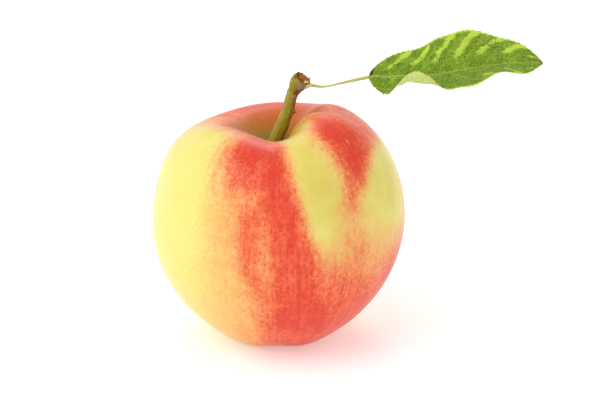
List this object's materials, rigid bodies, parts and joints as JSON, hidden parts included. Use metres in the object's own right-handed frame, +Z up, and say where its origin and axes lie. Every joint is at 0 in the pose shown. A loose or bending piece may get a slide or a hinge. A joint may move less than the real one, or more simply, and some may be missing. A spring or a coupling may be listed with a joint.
{
  "type": "apple with stem and leaf",
  "caption": "Whole fresh apple standing on its base, with a leaning stem, a torn spur stub, one wavy toothed leaf and a dry calyx underneath.",
  "frame": {"origin": "on the surface that the apple stands on, under the middle of the bounding box of fruit and leaf", "axes": "+X from the fruit towards the leaf's tip, which is the longest extent; +Z up along the fruit's axis; +Y away from the front"},
  "size_m": [0.115, 0.0746, 0.0906],
  "materials": {
    "apple_skin": "waxy satin skin, yellow with a red blush",
    "stem_rind": "matte olive rind",
    "spur_bark": "rough brown bark and torn fibre",
    "leaf_green": "satin green leaf, paler underneath",
    "dry_calyx": "dry, dull brown"
  },
  "bodies": {
    "root": {"fruit": "apple_skin", "stem": "stem_rind", "spur_stub": "spur_bark", "leaf": "leaf_green", "sepal_1": "dry_calyx", "sepal_2": "dry_calyx", "sepal_3": "dry_calyx", "sepal_4": "dry_calyx", "sepal_5": "dry_calyx", "stamen_tuft": "dry_calyx"}
  },
  "joints": []
}
